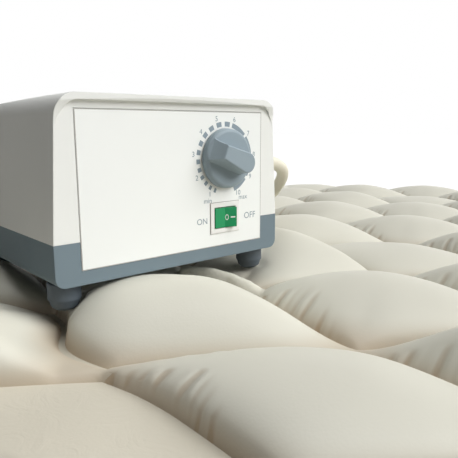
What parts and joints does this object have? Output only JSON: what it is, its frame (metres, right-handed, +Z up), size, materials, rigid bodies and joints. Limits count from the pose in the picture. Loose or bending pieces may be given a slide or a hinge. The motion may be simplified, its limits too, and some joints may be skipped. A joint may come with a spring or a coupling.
{
  "type": "pressure relief mattress",
  "caption": "Inflatable mattress of staggered diamond cells with its alternating air pump standing on it, joined by hoses; pressure knob, rocker switch and fold-out hanger hooks.",
  "frame": {"origin": "centre of the mattress on the surface it lies on", "axes": "+X along the mattress towards the head end, +Y across it and away from the picture's camera, +Z up"},
  "size_m": [2, 0.9, 0.17],
  "materials": {
    "film": "satin, slightly glossy welded film",
    "hose": "satin flexible tubing",
    "port": "satin",
    "shell": "fine satin",
    "base": "fine satin",
    "panel": "printed film, satin",
    "knob": "satin",
    "bezel": "gloss",
    "rocker": "gloss, translucent",
    "rubber": "matte",
    "black": "matte",
    "steel": "plated",
    "iron": "laminated",
    "copper": "enamelled wire under tape",
    "moulding": "matte",
    "rotor": "matte",
    "board": "matte",
    "felt": "felt"
  },
  "bodies": {
    "pad_and_pump": {"weld_web": "film", "air_line_1": "film", "air_line_2": "film", "air_line_3": "film", "air_line_4": "film", "air_line_5": "film", "air_line_6": "film", "air_line_7": "film", "air_line_8": "film", "air_line_9": "film", "air_line_10": "film", "air_line_11": "film", "air_line_12": "film", "air_line_13": "film", "feed_channel_a": "film", "feed_channel_b": "film", "hose_port_a": "port", "hose_port_b": "port", "hose_a": "hose", "hose_b": "hose", "lower_housing": "base", "upper_housing": "shell", "front_panel": "panel", "rubber_feet": "rubber", "housing_screws": "steel", "regulator_valve": "moulding", "regulator_nut": "steel", "switch_body": "bezel", "air_nozzle_a": "port", "air_nozzle_b": "port", "hook_pins": "steel", "cord_gland": "rubber", "fuse_holder": "black", "filter_cap": "base", "filter_felt": "felt", "circuit_board": "board", "pump_chassis": "steel", "chassis_grommets": "rubber", "magnet_core": "iron", "magnet_coil": "copper", "arm_pins": "steel", "air_chamber_left": "moulding", "air_chamber_right": "moulding", "diaphragm_left": "rubber", "diaphragm_right": "rubber", "valve_motor": "steel", "valve_seat": "moulding", "feed_tube_left": "hose", "feed_tube_right": "hose", "outlet_tube_a": "hose", "outlet_tube_b": "hose"},
    "knob": {"pressure_knob": "knob", "regulator_spindle": "steel"},
    "rocker": {"switch_rocker": "rocker"},
    "hook_left": {"hook_left": "base"},
    "hook_right": {"hook_right": "base"},
    "arm_left": {"arm_left": "steel"},
    "arm_right": {"arm_right": "steel"},
    "distributor": {"valve_rotor": "rotor"}
  },
  "joints": [
    {"name": "knob_turn", "type": "hinge", "parent": "pad_and_pump", "child": "knob", "pos_m": [-0.60721, -0.25069, 0.1318], "axis": [0.8949, -0.4462, 0], "range_deg": [-42, 262]},
    {"name": "rocker_tilt", "type": "hinge", "parent": "pad_and_pump", "child": "rocker", "pos_m": [-0.61746, -0.24614, 0.0927], "axis": [0, 0, 1], "range_deg": [0, 20]},
    {"name": "hook_left_fold", "type": "hinge", "parent": "pad_and_pump", "child": "hook_left", "pos_m": [-0.7939, -0.26656, 0.1395], "axis": [0, 0, 1], "range_deg": [0, 90]},
    {"name": "hook_right_fold", "type": "hinge", "parent": "pad_and_pump", "child": "hook_right", "pos_m": [-0.73858, -0.15558, 0.1395], "axis": [0, 0, -1], "range_deg": [0, 90]},
    {"name": "arm_left_swing", "type": "hinge", "parent": "pad_and_pump", "child": "arm_left", "pos_m": [-0.74288, -0.30317, 0.111], "axis": [-0.8949, 0.4462, 0], "range_deg": [-1.2, 1.2], "stiffness_Nm_per_rad": 1.5, "deforming": ["diaphragm_left"]},
    {"name": "arm_right_swing", "type": "hinge", "parent": "pad_and_pump", "child": "arm_right", "pos_m": [-0.69648, -0.2101, 0.111], "axis": [-0.8949, 0.4462, 0], "range_deg": [-1.2, 1.2], "stiffness_Nm_per_rad": 1.5, "deforming": ["diaphragm_right"]},
    {"name": "distributor_turn", "type": "hinge", "parent": "pad_and_pump", "child": "distributor", "pos_m": [-0.6813, -0.18861, 0.0855], "axis": [0, 0, 1], "continuous": true}
  ],
  "couplings": [
    {"joint": "arm_right_swing", "follows": "arm_left_swing", "ratio": -1}
  ]
}
